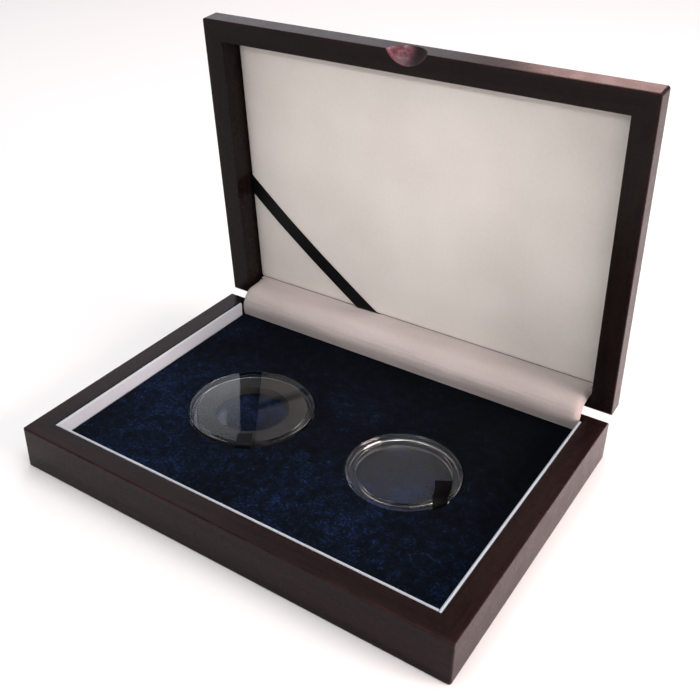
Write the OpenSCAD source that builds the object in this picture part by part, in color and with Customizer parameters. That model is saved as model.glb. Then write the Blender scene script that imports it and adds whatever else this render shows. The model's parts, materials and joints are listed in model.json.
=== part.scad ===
// Coin display case: a hinged wooden box, standing open, with two clear
// capsules sunk in a velvet insert. The origin is the middle of the base's
// underside, X runs along the hinge, Y towards the hinge and Z up.

/* [Case] */
// Outer width, along the hinge
case_w = 170; // [160:1:190]
// Outer depth, front face to rear face
case_d = 121; // [114:1:140]
// Height of the base, floor to rim
base_h = 16.4; // [16:0.1:20]
// Thickness of the front and side walls
wall_t = 8; // [7.5:0.1:9]
// Thickness of the two rear walls, which carry the hinge cover
rear_t = 4; // [3.8:0.1:4.4]
// Thickness of the floor board
floor_t = 3; // [2.4:0.1:3.4]
// Rounding of the upright corners
corner_r = 1; // [0.8:0.1:2.5]

/* [Lid] */
// Height of the lid's straight sides
lid_side_h = 7.3; // [7.1:0.1:8]
// Thickness of the lid's roof over the panel
roof_t = 3; // [2.5:0.1:3.5]
// Opening angle at which the lid stands
lid_open = 84.6; // [70:0.2:90]
// Air between the two rims when the lid is shut
rim_gap = 0.3; // [0.3:0.05:0.5]
// Radius of the thumb scoop in the lid's front wall
scoop_r = 8.7; // [8:0.1:9.4]
// Distance of the scoop's centre in front of the lid
scoop_out = 3.5; // [3.2:0.1:4]
// Distance of the scoop's centre below the lid's rim
scoop_low = 2; // [1.5:0.1:2.5]
// Distance of the scoop's centre to the right of the middle
scoop_side = 1.6; // [0:0.1:3]

/* [Lid panel] */
// Depth of the padded panel's face below the rim
panel_drop = 8.3; // [7.9:0.1:8.8]
// Thickness of the panel's padding and cloth
pad_t = 1.7; // [1.2:0.1:2]
// Thickness of the board behind the padding
board_t = 1.6; // [1.2:0.1:1.8]
// Width of the wood ledge behind the panel's rear edge
pocket_ledge = 1.8; // [1.5:0.1:2.2]
// Air round the panel
panel_air = 0.4; // [0.3:0.05:0.6]

/* [Insert] */
// Thickness of the insert's core under the wells
core_under = 1.5; // [1.1:0.1:1.9]
// Thickness of the velvet, pile and backing
velvet_t = 0.8; // [0.6:0.05:1]
// Thickness of the cloth-covered strips round the walls
liner_t = 1.2; // [1:0.1:1.4]
// Air between a capsule and the wall of its well
well_air = 0.35; // [0.3:0.05:0.6]
// Air under a capsule in its well
well_seat = 0.2; // [0.1:0.05:0.3]
// Air between the insert and the strips round it
insert_air = 0.2; // [0.1:0.05:0.3]
// Gap between the side strips' rear ends and the rear wall
liner_short = 2.5; // [2:0.1:3]
// Left well, distance left of the middle
left_well_x = 30; // [28:0.5:34]
// Right well, distance right of the middle
right_well_x = 35; // [30:0.5:38]
// Both wells, distance behind the middle
well_y = 1; // [-2:0.5:3]

/* [Capsules] */
// Outer diameter of the left capsule
left_capsule_d = 46.5; // [44:0.1:48]
// Outer diameter of the right capsule
right_capsule_d = 39.6; // [38:0.1:42]
// Height of both capsules
capsule_h = 6.2; // [5.8:0.1:6.4]
// Height of the capsules above the velvet
capsule_proud = 0.7; // [0.4:0.1:1]
// Thickness of the clear windows, top and bottom
window_t = 1.4; // [1.2:0.05:1.5]
// Thickness of the cup's outer wall
cup_wall_t = 1.2; // [1:0.05:1.3]
// Width of the cover's ring inside the left cup
left_spigot_t = 1.55; // [1.2:0.05:2]
// Width of the cover's ring inside the right cup
right_spigot_t = 2.05; // [1.6:0.05:2.4]
// Height of the cups, the capsules' lower halves
cup_h = 3.2; // [3:0.1:3.5]
// Height at which the covers' inner rings start
spigot_h = 1.6; // [1.5:0.05:1.9]
// Running clearance between a cup and its cover
cup_fit = 0.05; // [0.02:0.01:0.1]
// Air between the two halves' seats
cup_seat = 0.15; // [0.1:0.05:0.2]
// Diameter of the hole in the left capsule's foam ring
ring_hole_d = 27.8; // [24:0.1:32]
// Air round and over the foam ring
ring_air = 0.15; // [0.1:0.05:0.25]

/* [Ribbons] */
// Width of the ribbons
ribbon_w = 6; // [5:0.1:7]
// Thickness of the ribbons
ribbon_t = 0.35; // [0.3:0.05:0.4]
// Air between a pull ribbon and its capsule's side
ribbon_air = 0.3; // [0.25:0.05:0.35]
// Length of the left pull tab over the capsule
left_tab_l = 6; // [4:0.5:8]
// Length of the right pull tab over the capsule
right_tab_l = 8; // [4:0.5:10]
// Bearing of the left pull tab on its capsule
left_tab_turn = -60; // [-90:1:-30]
// Bearing of the right pull tab on its capsule
right_tab_turn = -25; // [-60:1:0]
// Slant of the certificate ribbon across the panel
strap_turn = 41; // [35:1:50]
// Distance of the certificate ribbon's middle from the panel's corner
strap_in = 36; // [28:0.5:44]

/* [Hinges] */
// Distance of the hinge pin behind the rear face
pin_out = 0.4; // [0.3:0.05:0.5]
// Diameter of the hinge barrels
barrel_d = 2.25; // [2.15:0.1:2.35]
// Diameter of the hinge pins
pin_d = 0.9; // [0.8:0.05:1]
// Running clearance round the pins
pin_fit = 0.05; // [0.02:0.01:0.1]
// Width of each hinge
hinge_w = 20; // [18:1:26]
// Distance of each hinge's middle from the case's end
hinge_inset = 35; // [24:1:45]
// Thickness of the hinge leaves
leaf_t = 0.8; // [0.7:0.05:0.9]
// Gap between neighbouring knuckles
knuckle_gap = 0.3; // [0.2:0.05:0.4]
// Distance from the pin to a leaf's near edge
leaf_in = 1.75; // [1.7:0.05:1.9]
// Distance from the pin to a leaf's far edge
leaf_out = 7.05; // [6.8:0.05:7.2]
// Chamfer on the base's upper rear edge
base_chamfer = 2; // [1.8:0.1:2.2]
// Chamfer on the lid's lower rear edge
lid_chamfer = 1.6; // [1.5:0.1:1.8]
// Shank diameter of the hinge screws
screw_d = 1.6; // [1.4:0.1:1.8]
// Head diameter of the hinge screws
screw_head_d = 2.8; // [2.6:0.1:3]
// Length of the hinge screws beyond the leaf
screw_l = 2.8; // [2.2:0.1:2.9]
// Distance of the screws from the hinge's middle
screw_offset = 6; // [5:0.5:7]
// Air of the hinge's pieces in the wood
hinge_air = 0.1; // [0.05:0.05:0.15]

/* [Hinge cover] */
// Thickness of the cloth over the hinge joint
cover_t = 0.8; // [0.6:0.05:0.9]
// Glue line behind the cloth
cover_glue = 0.1; // [0.1:0.02:0.14]

/* [Hidden] */
$fn = 64;
half_w = case_w / 2;
half_d = case_d / 2;
in_x = half_w - wall_t;
in_front = -half_d + wall_t;
in_rear = half_d - rear_t;
hinge_x = half_w - hinge_inset;
pin_y = half_d + pin_out;
pin_z = base_h + rim_gap / 2;
lid_z = base_h + rim_gap;
pocket_depth = panel_drop + pad_t + board_t;
bevel_h = pocket_depth + roof_t - lid_side_h;
pocket_rear = in_rear - pocket_ledge;
well_z = floor_t + core_under + velvet_t;
capsule_z = well_z + well_seat;
velvet_z = capsule_z + capsule_h - capsule_proud;
insert_x = in_x - liner_t - insert_air;
insert_front = in_front + liner_t + insert_air;
insert_rear = in_rear - cover_glue - cover_t - insert_air / 2;
left_well = [-left_well_x, well_y];
right_well = [right_well_x, well_y];
knuckle_w = (hinge_w - 2 * knuckle_gap) / 3;
leaf_front = half_d - leaf_t;
slot_t = well_air + velvet_t + 0.05;
cover_r = pin_out + rear_t + cover_glue;
cover_reach = lid_side_h + rim_gap / 2 - 0.1;
bend_steps = 16;

// The case's outline with its rounded corners, h tall
module outline_block(h) {
    linear_extrude(height = h) {
        square([case_w - 2 * corner_r, case_d], center = true);
        square([case_w, case_d - 2 * corner_r], center = true);
        for (sx = [-1, 1], sy = [-1, 1])
            translate([sx * (half_w - corner_r), sy * (half_d - corner_r)])
                circle(r = corner_r);
    }
}

// Mitred rim pieces, h tall, standing on z = 0
module front_rail(h) {
    intersection() {
        outline_block(h);
        linear_extrude(height = h)
            polygon([
                [-half_w, -half_d], [half_w, -half_d],
                [in_x, in_front], [-in_x, in_front]
            ]);
    }
}

module rear_rail(h) {
    intersection() {
        outline_block(h);
        linear_extrude(height = h)
            polygon([
                [-half_w, half_d], [-in_x, in_rear],
                [in_x, in_rear], [half_w, half_d]
            ]);
    }
}

module side_rail(h, side) {
    intersection() {
        outline_block(h);
        linear_extrude(height = h)
            polygon([
                [side * half_w, -half_d], [side * half_w, half_d],
                [side * in_x, in_rear], [side * in_x, in_front]
            ]);
    }
}

// Shapes drawn as a side view, y to the right and z up, w long in X
module along_x(w) {
    translate([-w / 2, 0, 0])
        rotate([90, 0, 90])
            linear_extrude(height = w)
                children();
}

// Chamfer cut along an upper rear edge at height z, or a lower one
module rear_edge_cut(z, size, up) {
    along_x(case_w + 2)
        polygon([
            [half_d - size, z], [half_d + 1, z - up * (size + 1)],
            [half_d + 1, z + up], [half_d - size, z + up]
        ]);
}

// Room for the hinge leaves in a rear wall; up is 1 for the lid
module leaf_rooms(up) {
    for (side = [-1, 1])
        translate([side * hinge_x, half_d, pin_z + up * (leaf_out + hinge_air) / 2])
            cube([hinge_w + 2 * hinge_air, 2 * leaf_t, leaf_out + hinge_air], center = true);
    for (x = screw_places())
        translate([x, half_d, pin_z + up * screw_up()])
            rotate([90, 0, 0])
                cylinder(d = screw_d + hinge_air, h = leaf_t + screw_l + hinge_air);
}

function screw_places() = [
    for (side = [-1, 1], s = [-1, 1]) side * hinge_x + s * screw_offset
];
function screw_up() = (leaf_in + leaf_out) / 2;

// One hinge leaf with its knuckles; up is 1 for the lid
module hinge_leaf(x, up, knuckles) {
    translate([x, 0, 0])
        difference() {
            union() {
                translate([0, leaf_front + leaf_t / 2, pin_z + up * screw_up()])
                    cube([hinge_w, leaf_t, leaf_out - leaf_in], center = true);
                for (k = knuckles)
                    translate([k * (knuckle_w + knuckle_gap), 0, 0]) {
                        translate([0, leaf_front + leaf_t / 2, pin_z + up * (leaf_in + 0.1) / 2])
                            cube([knuckle_w - 0.2, leaf_t, leaf_in + 0.1], center = true);
                        translate([-knuckle_w / 2, pin_y, pin_z])
                            rotate([0, 90, 0])
                                cylinder(d = barrel_d, h = knuckle_w);
                    }
            }
            translate([-hinge_w, pin_y, pin_z])
                rotate([0, 90, 0])
                    cylinder(d = pin_d + 2 * pin_fit, h = 2 * hinge_w);
            for (s = [-1, 1])
                translate([s * screw_offset, half_d + 0.01, pin_z + up * screw_up()])
                    rotate([90, 0, 0])
                        cylinder(
                            d1 = screw_head_d + hinge_air,
                            d2 = screw_d + hinge_air,
                            h = leaf_t + 0.02
                        );
        }
}

module hinge_pin(x) {
    translate([x - hinge_w / 2, pin_y, pin_z])
        rotate([0, 90, 0])
            cylinder(d = pin_d, h = hinge_w);
}

// Countersunk screws of both hinges in one rear wall
module hinge_screws(up) {
    for (x = screw_places())
        translate([x, half_d, pin_z + up * screw_up()])
            rotate([90, 0, 0])
                difference() {
                    union() {
                        cylinder(d1 = screw_head_d, d2 = screw_d, h = leaf_t);
                        cylinder(d = screw_d, h = leaf_t + screw_l);
                    }
                    cube([screw_head_d + 1, 0.45, 0.6], center = true);
                }
}

// Side-view points of the hinge cover: on its bend, and on the open lid
function on_bend(i, r) = [
    pin_y - r * cos(i / bend_steps * lid_open),
    pin_z + r * sin(i / bend_steps * lid_open)
];
function lid_point(y) = [
    pin_y + cos(lid_open) * (y - pin_y) + sin(lid_open) * cover_reach,
    pin_z - sin(lid_open) * (y - pin_y) + cos(lid_open) * cover_reach
];

// Turns a piece drawn with the lid shut to where the lid stands open
module lid_pose() {
    translate([0, pin_y, pin_z])
        rotate([-lid_open, 0, 0])
            translate([0, -pin_y, -pin_z])
                children();
}

// One bevel of the lid's top edge, cut at 45 degrees
module bevel_cut(half, length, turn) {
    rotate([0, 0, turn])
        translate([half, 0, lid_z + lid_side_h])
            rotate([0, -45, 0])
                translate([0, -length / 2, 0])
                    cube([3 * bevel_h, length, 3 * bevel_h]);
}

// Outline of the lid's panel, shrunk by air on every side
module panel_sheet(z, h, air) {
    translate([-in_x + air, in_front + air, z])
        cube([2 * (in_x - air), pocket_rear - in_front - 2 * air, h]);
}

// The lower half of a capsule
module capsule_cup(at, d) {
    translate([at[0], at[1], capsule_z])
        difference() {
            cylinder(d = d, h = cup_h, $fn = 96);
            translate([0, 0, window_t])
                cylinder(d = d - 2 * cup_wall_t, h = cup_h, $fn = 96);
        }
}

// The upper half, with the ring that slips inside the cup
module capsule_cover(at, d, spigot_t) {
    translate([at[0], at[1], capsule_z])
        difference() {
            union() {
                translate([0, 0, cup_h + cup_seat])
                    cylinder(d = d, h = capsule_h - cup_h - cup_seat, $fn = 96);
                translate([0, 0, spigot_h])
                    cylinder(d = d - 2 * cup_wall_t - 2 * cup_fit, h = cup_h, $fn = 96);
            }
            translate([0, 0, spigot_h - 1])
                cylinder(
                    d = d - 2 * cup_wall_t - 2 * spigot_t,
                    h = capsule_h - window_t - spigot_h + 1,
                    $fn = 96
                );
        }
}

// A pull ribbon up a capsule's side and over its rim
module pull_ribbon(at, d, tab, turn) {
    translate([at[0], at[1], capsule_z])
        rotate([0, 0, turn]) {
            translate([d / 2 + ribbon_air, -ribbon_w / 2, 0.2])
                cube([ribbon_t, ribbon_w, capsule_h + ribbon_t - 0.2]);
            translate([d / 2 + ribbon_air + ribbon_t - tab, -ribbon_w / 2, capsule_h])
                cube([tab, ribbon_w, ribbon_t]);
        }
}

// Room beside a capsule for its pull ribbon
module ribbon_room(at, d, turn) {
    translate([at[0], at[1], well_z])
        rotate([0, 0, turn])
            translate([d / 2 - 2, -ribbon_w / 2 - 0.4, 0])
                cube([2 + slot_t, ribbon_w + 0.8, base_h]);
}

// Room for both velvet-lined wells, h tall from under the velvet
module well_rooms(h = base_h) {
    translate([left_well[0], left_well[1], well_z - velvet_t])
        cylinder(d = left_capsule_d + 2 * (well_air + velvet_t), h = h, $fn = 96);
    translate([right_well[0], right_well[1], well_z - velvet_t])
        cylinder(d = right_capsule_d + 2 * (well_air + velvet_t), h = h, $fn = 96);
}

module base_front() {
    color("#3a2626")
        front_rail(base_h);
}

module base_rear() {
    color("#3a2626")
        difference() {
            rear_rail(base_h);
            rear_edge_cut(base_h, base_chamfer, 1);
            leaf_rooms(-1);
        }
}

module base_left() {
    color("#3a2626")
        difference() {
            side_rail(base_h, -1);
            rear_edge_cut(base_h, base_chamfer, 1);
        }
}

module base_right() {
    color("#3a2626")
        difference() {
            side_rail(base_h, 1);
            rear_edge_cut(base_h, base_chamfer, 1);
        }
}

module base_floor() {
    color("#4a3530")
        translate([-in_x, in_front, 0])
            cube([2 * in_x, in_rear - in_front, floor_t]);
}

module liner_front() {
    color("#d8d8d0")
        translate([-in_x + liner_t, in_front, floor_t])
            cube([2 * (in_x - liner_t), liner_t, base_h - floor_t]);
}

module liner_left() {
    color("#d8d8d0")
        translate([-in_x, in_front, floor_t])
            cube([liner_t, in_rear - in_front - liner_short, base_h - floor_t]);
}

module liner_right() {
    color("#d8d8d0")
        translate([in_x - liner_t, in_front, floor_t])
            cube([liner_t, in_rear - in_front - liner_short, base_h - floor_t]);
}

module insert_core() {
    color("#303038")
        difference() {
            translate([-insert_x, insert_front, floor_t])
                cube([2 * insert_x, insert_rear - insert_front, velvet_z - velvet_t - floor_t]);
            well_rooms();
        }
}

module velvet_cover() {
    color("#101830")
        difference() {
            union() {
                translate([-insert_x, insert_front, velvet_z - velvet_t])
                    cube([2 * insert_x, insert_rear - insert_front, velvet_t]);
                well_rooms(velvet_z - well_z);
            }
            translate([left_well[0], left_well[1], well_z])
                cylinder(d = left_capsule_d + 2 * well_air, h = base_h, $fn = 96);
            translate([right_well[0], right_well[1], well_z])
                cylinder(d = right_capsule_d + 2 * well_air, h = base_h, $fn = 96);
            ribbon_room(left_well, left_capsule_d, left_tab_turn);
            ribbon_room(right_well, right_capsule_d, right_tab_turn);
        }
}

module hinge_cover() {
    color("#d8c8c4")
        along_x(2 * insert_x)
            polygon(concat(
                [[in_rear - cover_glue, floor_t], [in_rear - cover_glue - cover_t, floor_t]],
                [for (i = [0 : bend_steps]) on_bend(i, cover_r + cover_t)],
                [lid_point(in_rear - cover_glue - cover_t), lid_point(in_rear - cover_glue)],
                [for (i = [bend_steps : -1 : 0]) on_bend(i, cover_r)]
            ));
}

module hinge_leaf_base_left() {
    color("#b89850")
        hinge_leaf(-hinge_x, -1, [-1, 1]);
}

module hinge_leaf_base_right() {
    color("#b89850")
        hinge_leaf(hinge_x, -1, [-1, 1]);
}

module hinge_pin_left() {
    color("#a0a0a0")
        hinge_pin(-hinge_x);
}

module hinge_pin_right() {
    color("#a0a0a0")
        hinge_pin(hinge_x);
}

module hinge_screws_base() {
    color("#b89850")
        hinge_screws(-1);
}

module lid_front() {
    color("#3a2626")
        lid_pose()
            difference() {
                translate([0, 0, lid_z])
                    front_rail(lid_side_h);
                translate([scoop_side, -half_d - scoop_out, lid_z - scoop_low])
                    sphere(r = scoop_r);
            }
}

module lid_rear() {
    color("#3a2626")
        lid_pose()
            difference() {
                translate([0, 0, lid_z])
                    rear_rail(lid_side_h);
                rear_edge_cut(lid_z, lid_chamfer, -1);
                leaf_rooms(1);
            }
}

module lid_left() {
    color("#3a2626")
        lid_pose()
            difference() {
                translate([0, 0, lid_z])
                    side_rail(lid_side_h, -1);
                rear_edge_cut(lid_z, lid_chamfer, -1);
            }
}

module lid_right() {
    color("#3a2626")
        lid_pose()
            difference() {
                translate([0, 0, lid_z])
                    side_rail(lid_side_h, 1);
                rear_edge_cut(lid_z, lid_chamfer, -1);
            }
}

module lid_top() {
    color("#3a2626")
        lid_pose()
            difference() {
                translate([0, 0, lid_z + lid_side_h])
                    outline_block(bevel_h);
                bevel_cut(half_w, 2 * case_w, 0);
                bevel_cut(half_w, 2 * case_w, 180);
                bevel_cut(half_d, 2 * case_w, 90);
                bevel_cut(half_d, 2 * case_w, 270);
                panel_sheet(lid_z + lid_side_h - 1, pocket_depth - lid_side_h + 1, 0);
            }
}

module panel_board() {
    color("#c0b090")
        lid_pose()
            panel_sheet(lid_z + panel_drop + pad_t, board_t, panel_air);
}

module panel_pad() {
    color("#d8d4c8")
        lid_pose()
            panel_sheet(lid_z + panel_drop, pad_t, panel_air);
}

module certificate_ribbon() {
    color("#181818")
        lid_pose()
            intersection() {
                panel_sheet(lid_z + panel_drop - ribbon_t, ribbon_t, panel_air);
                translate([-in_x, pocket_rear, lid_z + panel_drop])
                    rotate([0, 0, strap_turn])
                        translate([0, -strap_in, 0])
                            cube([4 * strap_in, ribbon_w, 4 * ribbon_t], center = true);
            }
}

module hinge_leaf_lid_left() {
    color("#b89850")
        lid_pose()
            hinge_leaf(-hinge_x, 1, [0]);
}

module hinge_leaf_lid_right() {
    color("#b89850")
        lid_pose()
            hinge_leaf(hinge_x, 1, [0]);
}

module hinge_screws_lid() {
    color("#b89850")
        lid_pose()
            hinge_screws(1);
}

module capsule_left_cup() {
    color("#d0d8e0")
        capsule_cup(left_well, left_capsule_d);
}

module capsule_left_ring() {
    color("#202020")
        translate([left_well[0], left_well[1], capsule_z + window_t])
            difference() {
                cylinder(
                    d = left_capsule_d - 2 * (cup_wall_t + left_spigot_t + ring_air),
                    h = capsule_h - 2 * (window_t + ring_air),
                    $fn = 96
                );
                translate([0, 0, -1])
                    cylinder(d = ring_hole_d, h = capsule_h, $fn = 96);
            }
}

module capsule_left_cover() {
    color("#d0d8e0")
        capsule_cover(left_well, left_capsule_d, left_spigot_t);
}

module pull_ribbon_left() {
    color("#181818")
        pull_ribbon(left_well, left_capsule_d, left_tab_l, left_tab_turn);
}

module capsule_right_cup() {
    color("#d0d8e0")
        capsule_cup(right_well, right_capsule_d);
}

module capsule_right_cover() {
    color("#d0d8e0")
        capsule_cover(right_well, right_capsule_d, right_spigot_t);
}

module pull_ribbon_right() {
    color("#181818")
        pull_ribbon(right_well, right_capsule_d, right_tab_l, right_tab_turn);
}

base_front();
base_rear();
base_left();
base_right();
base_floor();
liner_front();
liner_left();
liner_right();
insert_core();
velvet_cover();
hinge_cover();
hinge_leaf_base_left();
hinge_leaf_base_right();
hinge_pin_left();
hinge_pin_right();
hinge_screws_base();
lid_front();
lid_rear();
lid_left();
lid_right();
lid_top();
panel_board();
panel_pad();
certificate_ribbon();
hinge_leaf_lid_left();
hinge_leaf_lid_right();
hinge_screws_lid();
capsule_left_cup();
capsule_left_ring();
capsule_left_cover();
pull_ribbon_left();
capsule_right_cup();
capsule_right_cover();
pull_ribbon_right();
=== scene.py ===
import json
from math import copysign, cos, degrees, dist, exp, hypot, pi, radians, sin, sqrt, tan

import bmesh
import bpy
from mathutils import Matrix, Vector, geometry, noise


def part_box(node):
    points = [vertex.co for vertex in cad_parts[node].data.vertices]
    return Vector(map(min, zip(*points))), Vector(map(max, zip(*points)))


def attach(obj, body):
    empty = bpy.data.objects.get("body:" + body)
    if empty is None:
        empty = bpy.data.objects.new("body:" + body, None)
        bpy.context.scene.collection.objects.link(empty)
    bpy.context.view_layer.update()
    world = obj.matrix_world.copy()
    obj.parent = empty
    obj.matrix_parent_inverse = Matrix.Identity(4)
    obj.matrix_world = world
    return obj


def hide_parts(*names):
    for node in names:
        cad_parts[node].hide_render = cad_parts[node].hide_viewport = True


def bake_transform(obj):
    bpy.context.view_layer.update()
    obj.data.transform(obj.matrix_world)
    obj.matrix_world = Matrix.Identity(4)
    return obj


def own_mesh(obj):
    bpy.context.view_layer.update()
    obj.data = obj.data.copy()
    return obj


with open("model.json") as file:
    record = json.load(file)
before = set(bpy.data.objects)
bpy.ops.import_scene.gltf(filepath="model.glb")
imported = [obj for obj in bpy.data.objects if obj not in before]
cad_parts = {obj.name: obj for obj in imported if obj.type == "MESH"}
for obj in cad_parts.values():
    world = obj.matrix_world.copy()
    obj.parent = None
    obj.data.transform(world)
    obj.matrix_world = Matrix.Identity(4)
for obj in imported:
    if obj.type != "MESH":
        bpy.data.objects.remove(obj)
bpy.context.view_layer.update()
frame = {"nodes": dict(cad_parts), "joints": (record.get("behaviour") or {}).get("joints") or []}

mm = 0.001

# sizes the frame already has, so the looks follow it
nodes = frame["nodes"]
lidJoint = [j for j in frame["joints"] if j["name"] == "lid_hinge"][0]
pinLow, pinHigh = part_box("hinge_pin_left")
pin = Vector((0, (pinLow.y + pinHigh.y) / 2, (pinLow.z + pinHigh.z) / 2))
openAngle = radians(max(abs(a) for a in lidJoint["range_deg"]))
lidPose = (
    Matrix.Translation(pin) @ Matrix.Rotation(-openAngle, 4, "X") @ Matrix.Translation(-pin)
)
case = {
    "halfW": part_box("base_left")[0].x * -1,
    "halfD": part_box("base_front")[0].y * -1,
    "baseH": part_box("base_front")[1].z,
    "wall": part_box("base_front")[1].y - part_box("base_front")[0].y,
    "rear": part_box("base_rear")[1].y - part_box("base_rear")[0].y,
    "floor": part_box("base_floor")[1].z,
    "cornerR": 1.0 * mm,
    "lidSide": 7.3 * mm,
    "pocketDepth": 11.6 * mm,
    "roof": 3 * mm,
    "panelDrop": 8.3 * mm,
    "ledge": 1.8 * mm,
    "lip": 0.8 * mm,        # the upper part of the pocket, for the pad, reaches further back
    "easeOut": 0.35 * mm,   # how far the lacquered outer edges are rounded
    "easeIn": 0.2 * mm,
}
lidZ = 2 * pin.z - case["baseH"]      # the lid's rim with the lid shut
inX = case["halfW"] - case["wall"]
inFront = -case["halfD"] + case["wall"]
inRear = case["halfD"] - case["rear"]
bevelH = case["pocketDepth"] + case["roof"] - case["lidSide"]
print("frame loaded,", len(nodes), "nodes, lid open", round(degrees(openAngle), 1))


# sRGB hex to the linear colour that Blender's sockets want
def paint(hexCode, alpha=1.0):
    parts = [int(hexCode[i:i + 2], 16) / 255 for i in (1, 3, 5)]
    linear = [c / 12.92 if c <= 0.04045 else ((c + 0.055) / 1.055) ** 2.4 for c in parts]
    return (*linear, alpha)


# one node in the tree that a socket is in: each input is linked to another node's output
# or set to a value
def addNode(near, kind, inputs=None, **settings):
    tree = near.id_data
    node = tree.nodes.new("ShaderNode" + kind)
    for name, value in settings.items():
        setattr(node, name, value)
    for name, term in (inputs or {}).items():
        if isinstance(term, bpy.types.NodeSocket):
            tree.links.new(term, node.inputs[name])
        else:
            node.inputs[name].default_value = term
    return node


def startMaterial(name):
    material = bpy.data.materials.new(name)
    material.use_nodes = True
    nodes = material.node_tree.nodes
    nodes.clear()
    return material, nodes.new("ShaderNodeTexCoord").outputs["Object"]


def finishMaterial(place, inputs):
    shader = addNode(place, "BsdfPrincipled", inputs)
    addNode(place, "OutputMaterial", {"Surface": shader.outputs["BSDF"]})


# texture space in which a pattern's feature of that size, in metres, is 1
def spread(place, size, turn=(0, 0, 0)):
    sizes = size if isinstance(size, tuple) else (size,) * 3
    return addNode(place, "Mapping", {"Vector": place, "Scale": [1 / s for s in sizes],
                                      "Rotation": turn}).outputs["Vector"]


def speckle(place, size, detail=2.0, rough=0.5, bend=0.0, turn=(0, 0, 0)):
    return addNode(place, "TexNoise", {
        "Vector": spread(place, size, turn), "Scale": 1.0, "Detail": detail,
        "Roughness": rough, "Distortion": bend}).outputs["Fac"]


def combine(operation, *terms):
    return addNode(terms[0], "Math", dict(enumerate(terms)), operation=operation).outputs["Value"]


def layColour(factor, under, over, kind="MIX"):
    return addNode(under, "Mix", {"Factor": factor, "A": under, "B": over},
                   data_type="RGBA", blend_type=kind).outputs["Result"]


def relief(height, strength, distance):
    return addNode(height, "Bump", {"Height": height, "Strength": strength,
                                    "Distance": distance}).outputs["Normal"]


# each stop is a place from 0 to 1, and a grey from 0 to 1 or a hex colour
def ramp(source, *stops):
    node = addNode(source, "ValToRGB", {"Fac": source})
    while len(node.color_ramp.elements) < len(stops):
        node.color_ramp.elements.new(0.5)
    for element, (at, tone) in zip(node.color_ramp.elements, stops):
        element.position = at
        element.color = paint(tone) if isinstance(tone, str) else (tone, tone, tone, 1.0)
    return node.outputs["Color"]


# Mahogany, stained nearly black and sprayed with semi-gloss lacquer: long dark grain
# under a thin clear coat, with a mauve bloom at low angles, rubbed red-brown where the
# edges are eased.
def makeMahogany(name, grain, look=None):
    look = {
        "dark": "#130a09", "mid": "#1b100f", "warm": "#231413", "rubbed": "#5c2c2e",
        "poreWidth": 0.45 * mm, "poreLength": 14 * mm,   # drawn coarser than real pores
        "bandWidth": 5 * mm, "bandLength": 130 * mm, "specular": 0.06, "gloss": 0.24,
        **(look or {}),
    }
    material, place = startMaterial(name)

    def along(kind):
        sizes = [look[kind + "Width"]] * 3
        sizes[grain] = look[kind + "Length"]
        return tuple(sizes)

    bands = speckle(place, along("band"), 4.0, 0.55, 0.6)
    pores = speckle(place, along("pore"))
    colour = ramp(bands, (0.3, look["dark"]), (0.52, look["mid"]), (0.75, look["warm"]))
    poreMask = ramp(pores, (0.36, 0.55), (0.46, 1.0))
    wood = layColour(0.8, colour, poreMask, "MULTIPLY")
    if "paintedLitTo" in look:   # painted light: from x, in metres, where the painted lit side ends to where the painted shade is full
        paintedShadeMix = addNode(place, "MapRange", {
            "Value": addNode(place, "SeparateXYZ", {"Vector": place}).outputs["X"],
            "From Min": look["paintedLitTo"][0], "From Max": look["paintedLitTo"][1],
        }, interpolation_type="SMOOTHSTEP").outputs["Result"]
        wood = layColour(paintedShadeMix, wood, paint(look["paintedShadeTone"]))
    edge = addNode(place, "Attribute", attribute_name="rub").outputs["Fac"]
    patchy = speckle(place, 6 * mm, 3.0)
    bare = combine("MULTIPLY", edge, ramp(patchy, (0.42, 0.15), (0.66, 0.8)))
    peel = speckle(place, 1.6 * mm, 1.0)
    height = combine("MULTIPLY_ADD", pores, 0.6, peel)
    finishMaterial(place, {
        "Base Color": layColour(bare, wood, paint(look["rubbed"])),
        "Roughness": ramp(patchy, (0.3, look["gloss"]), (0.7, look["gloss"] + 0.08)),
        "Normal": relief(height, 0.05, 0.03 * mm), "IOR": 1.5,
        "Specular IOR Level": look["specular"], "Coat Weight": 0.14, "Coat Roughness": 0.22,
        "Coat IOR": 1.3, "Sheen Weight": 0.26, "Sheen Roughness": 0.3,
        "Sheen Tint": paint("#cf9a9a")})
    return material
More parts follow.
